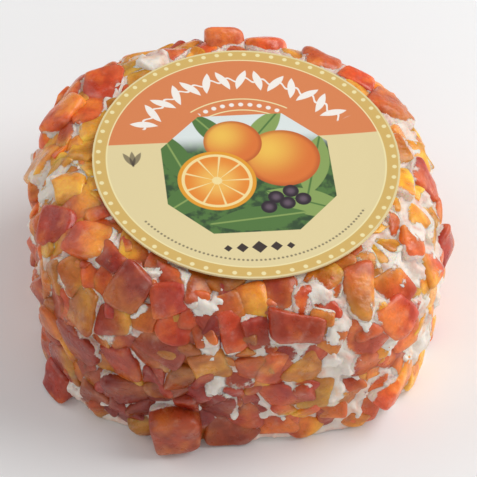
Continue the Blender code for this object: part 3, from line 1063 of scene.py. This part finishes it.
def drum_grid():
    """Distances down the profile and angles of the curd's grid of points, row by row."""
    outside_begins = FRUIT_OUTSIDE[0]
    arcs = np.concatenate([
        np.linspace(POLE_GAP, outside_begins, CURD_ROWS_UNDER_LABEL, endpoint=False),
        np.linspace(outside_begins, FOOT_END, CURD_ROWS_OUTSIDE, endpoint=False),
        np.linspace(FOOT_END, UNDERSIDE_END - POLE_GAP, CURD_ROWS_UNDERNEATH),
    ])
    angles = np.linspace(-math.pi, math.pi, CURD_AROUND, endpoint=False)
    return np.meshgrid(arcs, angles, indexing="ij")


def drum_faces(rows, columns):
    """Four-sided faces of a grid that closes round the drum, and triangles to the pole at each end.

    The two poles' points come after the grid's, the top's first.
    """
    grid = np.arange(rows * columns).reshape(rows, columns)
    right = np.roll(grid, -1, 1)
    quads = np.stack([grid[:-1], grid[1:], right[1:], right[:-1]], -1).reshape(-1, 4)
    top = np.full(columns, rows * columns)
    cap_top = np.stack([grid[0], right[0], top], -1)
    cap_bottom = np.stack([right[-1], grid[-1], top + 1], -1)
    return quads.tolist() + cap_top.tolist() + cap_bottom.tolist()


def settled_level(level, arc, skin):
    """The curd's level, taken down under the label, and on the underside to just over the floor."""
    under_label = smooth_step(1.5 * MM, -0.5 * MM, beyond_label(skin)) * (skin[..., 2] > HALFWAY_UP)
    level = level + (-CURD_UNDER_LABEL - level) * under_label
    on_base = smooth_step(WALL_END, FOOT_END, arc)
    resting = -CURD_OVER_FLOOR * (1 + value_noise(skin, 1.5 * MM, 3))
    return level + (resting - level) * on_base


class PAPAYA_OT_curd(bpy.types.Operator):
    """Makes the white cheese: the drum's surface on a fine grid, at the curd's level around the fruit"""

    bl_idname = "papaya.curd"
    bl_label = "White cheese"

    def execute(self, context):
        look = context.scene.curd_look
        dice = all_dice()
        tints = tone_colours(dice["tone"], context.scene.fruit_look)
        arc, angle = drum_grid()
        skin = drum_point(arc, angle)
        flat_skin = skin.reshape(-1, 3)
        outward = skin_axes(arc.ravel(), angle.ravel())[2]
        nearness, inside, face_level, tint = fruit_around(flat_skin, outward, dice, tints)
        level = curd_level(flat_skin, nearness, inside, face_level, look).reshape(arc.shape)
        points = drum_point(arc, angle, -settled_level(level, arc, skin))
        covered = (beyond_label(points) < CURD_LABEL_CLEARANCE) & (skin[..., 2] > HALFWAY_UP)
        ceiling = label_underside(points) - CURD_LABEL_GAP
        points[..., 2] = np.where(covered, np.minimum(points[..., 2], ceiling), points[..., 2])
        poles = np.stack([points[0].mean(0), points[-1].mean(0)])
        material = curd_material(look, bpy.data.node_groups["moist grain"])
        faces = drum_faces(*arc.shape)
        curd = new_piece("curd", np.concatenate([points.reshape(-1, 3), poles]), faces, material)
        stained = nearness * np.exp(-inside / STAIN_UNDER)
        add_values(curd, "fruit_near", np.append(stained, (0, 0)))
        add_colours(curd, "fruit_tint", np.concatenate([tint, np.ones((2, 3))]))
        return {"FINISHED"}


def dice_exposure(dice, points, height, fruit, curd):
    """How far the dice's points stand out of the curd around them, in millimetres, with more low down."""
    flat = points.reshape(-1, 3)
    outward = np.repeat(dice_axes(dice)[2], points.shape[1], 0)
    skin = flat - outward * height.reshape(-1, 1)
    tints = tone_colours(dice["tone"], fruit)
    nearness, inside, face_level, _ = fruit_around(skin, outward, dice, tints)
    covered = curd_level(skin, nearness, inside, face_level, curd).reshape(height.shape)
    return (height - covered) / MM + smooth_step(*FILM_ENDS, points[..., 2])


def dice_tints(tone, painted_light_and_shade, template, look):
    """The colour of each point of the dice, as dice by points by 3.

    The tone swings from one end of a dice to the other, its brightness is drawn at random and times the
    painted light and shade of its place, and a milky film dulls some of the dice.
    """
    rng = np.random.default_rng(DICE_SEED + 3)
    swing = rng.normal(0, look.two_tone, (len(tone), 1)) * template[:, 0]
    tints = tone_colours(np.clip(tone[:, None] + swing, 0, 1), look)
    # Painted light and shade of the dice's place, times a brightness drawn at random
    tints = tints * (painted_light_and_shade * rng.uniform(*BRIGHTNESS_DRAWN, len(tone)))[:, None, None]
    dull = MOST_DULLED * rng.beta(0.8, 3.0, len(tone))[:, None, None]
    return tints + dull * (np.array(look.dulled) - tints)


class PAPAYA_OT_fruit(bpy.types.Operator):
    """Makes the diced papaya as three pieces, red, orange and amber, where the solids have their dice"""

    bl_idname = "papaya.fruit"
    bl_label = "Papaya dice"

    def execute(self, context):
        look = context.scene.fruit_look
        curd = context.scene.curd_look
        dice = all_dice()
        points, height, faces, template = dice_points(dice, look)
        exposed = dice_exposure(dice, points, height, look, curd)
        # Nearness to the cube's edges, the mask of the painted highlight along them
        edge = np.sort(np.abs(template), -1)[:, 1]
        # The tone's shift and the painted light and shade of each dice's place
        shift, painted_light_and_shade = tone_and_painted_light_by_place(dice)
        tone = np.clip(dice["tone"] + shift, 0, 1)
        tints = dice_tints(tone, painted_light_and_shade, template, look)
        bare = exposed[:, template[:, 2] > 0.9] > look.film / MM
        shown = bare.mean(1) > LEAST_BARE
        kinds = {
            "papaya_red": shown & (tone < RED_ENDS),
            "papaya_orange": shown & (tone >= RED_ENDS) & (tone < AMBER_BEGINS),
            "papaya_amber": shown & (tone >= AMBER_BEGINS),
        }
        grain_group = bpy.data.node_groups["moist grain"]
        for name, chosen in kinds.items():
            count, each = int(chosen.sum()), points.shape[1]
            material = fruit_material(name.replace("_", " "), curd.colour, look, grain_group)
            piece = new_piece(
                name, points[chosen].reshape(-1, 3), copied_faces(faces, count, each), material)
            add_colours(piece, "tint", tints[chosen].reshape(-1, 3))
            add_values(piece, "exposed", exposed[chosen].ravel())
            add_values(piece, "edge", np.tile(edge, count))
            soften = piece.modifiers.new("soften", "SUBSURF")
            soften.levels = soften.render_levels = 1
        return {"FINISHED"}


def stretch(tree, place, centre, turn=0.0, scale=(1, 1, 1)):
    """A place moved, turned and scaled so that a pattern's own middle is at zero."""
    return add_node(
        tree, "ShaderNodeMapping", 0, {"vector_type": "TEXTURE"}, Vector=place, Location=(*centre, 0),
        Rotation=(0, 0, turn), Scale=scale)


def split(tree, place):
    """The two flat coordinates of a place."""
    node = tree.nodes.new("ShaderNodeSeparateXYZ")
    tree.links.new(place.socket, node.inputs[0])
    return Field(tree, node.outputs[0]), Field(tree, node.outputs[1])


def distance_from(u, v, centre=(0.0, 0.0), squash=1.0):
    """Distance from a centre, with the second coordinate scaled."""
    du, dv = u - centre[0], (v - centre[1]) * squash
    return (du * du + dv * dv).math("SQRT")


def leaf_mask(tree, place, centre, turn, length, width):
    """A pointed leaf and its midrib: |y| < width * (1 - (x / length)^2), x along it."""
    x, y = split(tree, stretch(tree, place, centre, turn))
    blade = abs(y) - (((x / length).power(2) * -1) + 1) * width
    midrib = abs(y).below(0.14, 0.08)
    return blade.below(0, 0.08), midrib


def ink_ornaments(tree, place, u, v, theta, r, ink, below):
    """Dark ornaments on the cream field: an arc of fine dots, a row of lozenges and a sprig of leaves."""
    from_bottom = abs(theta + math.pi / 2)
    dots = bead_mask(theta, r, at=18.7, spacing=0.62, size=0.17) * from_bottom.below(0.98, 0.01)
    colour = ink.over(below, dots * 0.75)
    for across, size in ((0.0, 1.1), (2.4, 0.85), (-2.4, 0.85), (4.4, 0.6), (-4.4, 0.6)):
        lozenge = (abs(u - across) + abs(v + 16.3)).below(size)
        colour = ink.over(colour, lozenge)
    for lean in (-0.5, 0.0, 0.5):
        centre = (-16.2 + 1.2 * math.sin(lean), 0.6 + 0.6 * math.cos(lean))
        leaf = leaf_mask(tree, place, centre, math.pi / 2 - lean, length=1.5, width=0.42)[0]
        colour = ink.over(colour, leaf * 0.7)
    return colour


def white_ornaments(theta, r, upper, white, pale, below):
    """Pale ornaments on the orange field: a garland of leaves, and a row of beads between two thin arcs."""
    colour = white.over(below, garland_mask(theta, r) * upper)
    from_top = abs(theta - math.pi / 2)
    for at in (12.1, 9.9):
        arc = abs(r - at).below(0.1, 0.07) * from_top.below(0.62, 0.01)
        colour = pale.over(colour, arc * upper)
    beads = bead_mask(theta, r, at=11.0, spacing=1.35, size=0.36) * from_top.below(0.56, 0.01)
    return white.over(colour, beads * upper)


def label_material(look):
    """Coated paper with a generic print, drawn in millimetres from the label's middle."""
    material, tree, shader = blank_material("printed label")
    place = stretch(tree, object_place(tree), LABEL_CENTRE, look.turn, (MM, MM, MM))
    u, v = split(tree, place)
    r = distance_from(u, v)
    theta = v.math("ARCTAN2", u)
    cream, orange, gold = (plain_colour(tree, c) for c in (look.cream, look.orange, look.gold))
    pale, ink = plain_colour(tree, look.pale), plain_colour(tree, look.ink)
    white = plain_colour(tree, srgb(250, 244, 236))

    upper = v.above(4.1)
    colour = orange.over(cream, upper)
    colour = white_ornaments(theta, r, upper, white, pale, colour)
    colour = window_print(tree, place, u, v, colour)
    colour = ink_ornaments(tree, place, u, v, theta, r, ink, colour)

    radius = LABEL_RADIUS / MM
    line_at, band_at, dots_at, edge_at = (share * radius for share in (0.906, 0.912, 0.961, 0.986))
    colour = gold.over(colour, r.above(band_at, 0.05))
    dots = bead_mask(theta, r, dots_at, spacing=2 * math.pi * dots_at / look.dots, size=0.33)
    colour = pale.over(colour, dots)
    colour = pale.over(colour, abs(r - line_at).below(0.1, 0.06))
    colour = cream.over(colour, r.above(edge_at, 0.05))
    fibre = noise(tree, place, scale=3.0, detail=3.0)
    set_shader(
        tree, shader, Base_Color=colour, Roughness=fibre.rising(0.3, 0.7, 0.36, 0.46),
        Normal=bump(tree, fibre, 0.00002, Strength=0.4), Specular_IOR_Level=0.5)
    return material


def bead_mask(theta, r, at, spacing, size):
    """Round beads of a size at a spacing along the circle of a radius: each is a disc in its own cell."""
    along = ((theta * (at / spacing)).math("FRACT") - 0.5) * spacing
    across = r - at
    return (along * along + across * across).math("SQRT").below(size, 0.09)


def garland_mask(theta, r, at=16.0, spacing=2.55, tall=1.9, wide=0.62):
    """Leaves on a wavy vine along a circle, leaning left and right by turns, at the top of the circle.

    Each leaf is |x| < wide * (1 - (y / tall)^2) in its own cell, x along the circle and y out from it.
    """
    along = theta * (at / spacing)
    cell = (along.math("FRACT") - 0.5) * spacing
    lean = (along * 0.5).math("FRACT").above(0.5, 0.001) * 2 - 1
    y = r - at
    x = cell + lean * y * 0.38
    blade = abs(x) - (((y / tall).power(2) * -1) + 1) * wide
    vine = abs(r - at - (along * (2 * math.pi)).math("SINE") * 0.4).below(0.17, 0.06)
    inside = abs(theta - math.pi / 2).below(1.12, 0.01)
    return blade.below(0, 0.07).most(vine) * inside


def window_print(tree, place, u, v, below):
    """An octagonal window with a generic still life: leaves, whole fruit, a cut slice and dark berries."""
    middle = -2.3
    wide, tall, corner = 12.0, 11.2, 17.3
    dv = v - middle
    window = abs(u).below(wide) * abs(dv).below(tall) * (abs(u) + abs(dv)).below(corner)
    sky = plain_colour(tree, srgb(226, 234, 232))
    dark_leaf = plain_colour(tree, srgb(52, 78, 48))
    leaf = plain_colour(tree, srgb(84, 122, 62))
    bright_leaf = plain_colour(tree, srgb(140, 166, 92))
    mottle = noise(tree, place, scale=0.8, detail=3.0)
    picture = sky.over(dark_leaf.over(leaf, mottle.above(0.5, 0.12)), v.above(3.4, 1.8))
    leaves = (
        ((-8.5, -6.5), 0.6, 6.5, 2.3),
        ((8.0, -8.5), -0.4, 6.5, 2.4),
        ((0.5, -11.0), 0.1, 7.0, 2.2),
        ((9.5, -1.5), 1.3, 6.0, 2.2),
        ((-10.0, 1.0), 1.9, 5.5, 2.0),
        ((3.0, 6.0), 0.9, 5.0, 1.7),
        ((-4.5, 6.0), 2.2, 4.6, 1.6),
    )
    greens = itertools.cycle(((leaf, bright_leaf), (bright_leaf, leaf)))
    for (centre, turn, length, width), (green, midrib_green) in zip(leaves, greens):
        blade, midrib = leaf_mask(tree, place, centre, turn, length, width)
        picture = midrib_green.over(green, midrib).over(picture, blade)
    picture = whole_fruit(tree, u, v, picture, centre=(5.2, 0.2), radius=5.4)
    picture = whole_fruit(tree, u, v, picture, centre=(-1.6, 3.6), radius=4.2)
    picture = cut_slice(tree, u, v, picture, centre=(-4.6, -3.6), radius=5.6)
    for centre in ((3.4, -7.2), (5.6, -6.2), (4.9, -8.4), (7.2, -7.8), (2.2, -9.0)):
        picture = berry(tree, u, v, picture, centre, radius=1.15)
    return picture.over(below, window)


def whole_fruit(tree, u, v, below, centre, radius):
    """A round fruit, yellow to orange across, with a darker rim."""
    r = distance_from(u, v, centre)
    light_spot = (centre[0] - 0.35 * radius, centre[1] + 0.35 * radius)
    turned_away = distance_from(u, v, light_spot).rising(0, 1.2 * radius)
    yellow, orange = plain_colour(tree, srgb(246, 196, 84)), plain_colour(tree, srgb(226, 120, 52))
    rim = plain_colour(tree, srgb(176, 78, 34))
    skin = rim.over(orange.over(yellow, turned_away), r.rising(0.82 * radius, radius, 0, 0.6))
    return skin.over(below, r.below(radius, 0.07))


def cut_slice(tree, u, v, below, centre, radius):
    """A round slice: peel, pith and wedges parted by pale lines from its middle."""
    r = distance_from(u, v, centre)
    turn = (v - centre[1]).math("ARCTAN2", u - centre[0])
    wedges = 9
    wedge = abs((turn * (wedges / (2 * math.pi))).math("FRACT") - 0.5)
    pale_flesh, deep_flesh = plain_colour(tree, srgb(248, 190, 92)), plain_colour(tree, srgb(238, 142, 52))
    pith = plain_colour(tree, srgb(250, 226, 160))
    flesh = deep_flesh.over(pale_flesh, r.rising(0.2 * radius, 0.8 * radius))
    flesh = pith.over(flesh, wedge.above(0.45, 0.03))
    flesh = pith.over(flesh, r.below(0.13 * radius, 0.12))
    flesh = pith.over(flesh, r.above(0.82 * radius, 0.08))
    flesh = plain_colour(tree, srgb(234, 160, 44)).over(flesh, r.above(0.9 * radius, 0.06))
    return flesh.over(below, r.below(radius, 0.07))


def berry(tree, u, v, below, centre, radius):
    """A small dark berry with a light spot."""
    r = distance_from(u, v, centre)
    light, dark = plain_colour(tree, srgb(104, 86, 100)), plain_colour(tree, srgb(48, 36, 46))
    skin = dark.over(light, r.rising(0.1 * radius, 0.8 * radius))
    return skin.over(below, r.below(radius, 0.07))


class PAPAYA_OT_label(bpy.types.Operator):
    """Prints the paper label, which keeps its solid"""

    bl_idname = "papaya.label"
    bl_label = "Label"

    def execute(self, context):
        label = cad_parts["label"]
        material = label_material(context.scene.label_look)
        if label.material_slots:
            label.material_slots[0].material = material
        else:
            label.data.materials.append(material)
        return {"FINISHED"}


def ragged_crumbs(template, rng, count):
    """Small crumbs about the origin, as crumbs by points by 3: rounded cubes, cut, scaled and flattened."""
    ball = np.repeat(rounded_cubes(template, 2.6)[None], count, 0)
    size = rng.gamma(2.0, 0.08 * MM, (count, 1, 1)) + 0.06 * MM
    cut = stray_cuts(ball, rng, 5, 0.7)
    return cut * size * rng.uniform(0.6, 1.6, (count, 1, 3)) * (1, 1, 0.5)


class PAPAYA_OT_crumbs(bpy.types.Operator):
    """Scatters small crumbs of curd over the fruit"""

    bl_idname = "papaya.crumbs"
    bl_label = "Crumbs of curd"

    def execute(self, context):
        look = context.scene.curd_look
        rng = np.random.default_rng(DICE_SEED + 5)
        count = look.crumbs
        arc = rng.uniform(TOP_END, WALL_END, count)
        angle = rng.uniform(-math.pi, math.pi, count)
        skin = drum_point(arc, angle)
        axes = np.stack(skin_axes(arc, angle), 1)
        dice = all_dice()
        tints = tone_colours(dice["tone"], context.scene.fruit_look)
        nearness, inside, face_level, tint = fruit_around(skin, axes[:, 2], dice, tints)
        level = curd_level(skin, nearness, inside, face_level, look)
        level = np.where(inside > 0, np.maximum(level, face_level), level)
        clear = (beyond_label(skin) > CURD_LABEL_CLEARANCE) & (nearness > 0.3) & (inside < 0.9 * MM)
        template, faces = cube_grid(CRUMB_STEPS)
        local = ragged_crumbs(template, rng, count)
        points = (skin + axes[:, 2] * level[:, None])[:, None] + local @ axes
        wobble = [value_noise(points, 0.5 * MM, 40 + n) for n in range(3)]
        points = points + 0.16 * MM * np.stack(wobble, -1)
        points[..., 2] = np.maximum(points[..., 2], DICE_FEET[0])
        points = points[clear]
        each = points.shape[1]
        piece = new_piece(
            "crumbs", points.reshape(-1, 3), copied_faces(faces, len(points), each),
            bpy.data.materials["fresh curd"])
        add_values(piece, "fruit_near", np.repeat(0.5 * nearness[clear], each))
        add_colours(piece, "fruit_tint", np.repeat(tint[clear], each, 0))
        return {"FINISHED"}


def point_at(obj, target):
    """Turns a light or a camera so that it looks at a point, upright."""
    away = obj.location - Vector(target)
    obj.rotation_euler = away.to_track_quat("Z", "Y").to_euler()


def add_light(name, power):
    """A square soft light that looks at the cheese."""
    place, width = LIGHTS[name]
    light = bpy.data.lights.new(name, "AREA")
    light.shape = "SQUARE"
    light.size = width
    light.energy = power
    obj = bpy.data.objects.new(name, light)
    bpy.context.scene.collection.objects.link(obj)
    obj.location = place
    point_at(obj, (0, 0, HALFWAY_UP))


def add_floor(colour):
    """A wide matt floor under the cheese."""
    material, tree, shader = blank_material("studio floor")
    set_shader(tree, shader, Base_Color=tuple(colour), Roughness=0.9, Specular_IOR_Level=0.1)
    half = FLOOR_HALF_WIDTH
    corners = [(-half, -half, 0), (half, -half, 0), (half, half, 0), (-half, half, 0)]
    mesh = bpy.data.meshes.new("floor")
    mesh.from_pydata(corners, [], [(0, 1, 2, 3)])
    mesh.materials.append(material)
    floor = bpy.data.objects.new("floor", mesh)
    bpy.context.scene.collection.objects.link(floor)


def add_sky(strength):
    """White light from all round."""
    world = bpy.data.worlds.new("studio")
    bpy.context.scene.world = world
    world.use_nodes = True
    inputs = world.node_tree.nodes["Background"].inputs
    inputs["Color"].default_value = (1, 1, 1, 1)
    inputs["Strength"].default_value = strength


def add_camera(look):
    """The camera, back from the point that it looks at by its distance, at its elevation over the front."""
    camera = bpy.data.cameras.new("camera")
    camera.lens = look.lens
    camera.sensor_width = 36
    camera.clip_start = 0.01
    obj = bpy.data.objects.new("camera", camera)
    bpy.context.scene.collection.objects.link(obj)
    back = Vector((0, -math.cos(look.elevation), math.sin(look.elevation)))
    obj.location = Vector(look.aim) + back * look.distance
    point_at(obj, look.aim)
    bpy.context.scene.camera = obj


class PAPAYA_OT_studio(bpy.types.Operator):
    """Sets the pale floor, the soft lights and the camera at the photograph's viewing angle"""

    bl_idname = "papaya.studio"
    bl_label = "Studio"

    def execute(self, context):
        look = context.scene.studio_look
        add_floor(look.floor)
        for name in LIGHTS:
            add_light(name, getattr(look, name))
        add_sky(look.sky)
        add_camera(look)
        context.scene.view_settings.view_transform = "Standard"
        context.scene.view_settings.look = "None"
        return {"FINISHED"}


class PAPAYA_PT_panel(bpy.types.Panel):
    """Lists the steps that build the cheese"""

    bl_label = "Papaya goat cheese"
    bl_idname = "PAPAYA_PT_panel"
    bl_space_type = "VIEW_3D"
    bl_region_type = "UI"
    bl_category = "Papaya cheese"

    def draw(self, context):
        layout = self.layout
        for operator in OPERATORS:
            layout.operator(operator.bl_idname)
        for look in LOOKS:
            box = layout.box()
            for name in LOOKS[look].__annotations__:
                box.prop(getattr(context.scene, look), name)


LOOKS = {"curd_look": CurdLook, "fruit_look": FruitLook, "label_look": LabelLook, "studio_look": StudioLook}
OPERATORS = (PAPAYA_OT_curd, PAPAYA_OT_fruit, PAPAYA_OT_crumbs, PAPAYA_OT_label, PAPAYA_OT_studio)


def register():
    """Registers the looks, the operators and the panel, and puts the looks on the scene."""
    for look in LOOKS.values():
        bpy.utils.register_class(look)
    for operator in OPERATORS:
        bpy.utils.register_class(operator)
    bpy.utils.register_class(PAPAYA_PT_panel)
    for name, look in LOOKS.items():
        setattr(bpy.types.Scene, name, PointerProperty(type=look))


def unregister():
    """Undoes what register did, in reverse."""
    for name in LOOKS:
        delattr(bpy.types.Scene, name)
    bpy.utils.unregister_class(PAPAYA_PT_panel)
    for operator in reversed(OPERATORS):
        bpy.utils.unregister_class(operator)
    for look in reversed(LOOKS.values()):
        bpy.utils.unregister_class(look)


def main():
    """Builds the cheese."""
    register()
    moist_grain_group()
    bpy.ops.papaya.curd()
    bpy.ops.papaya.fruit()
    bpy.ops.papaya.crumbs()
    bpy.ops.papaya.label()
    bpy.ops.papaya.studio()


if __name__ == "__main__":
    main()
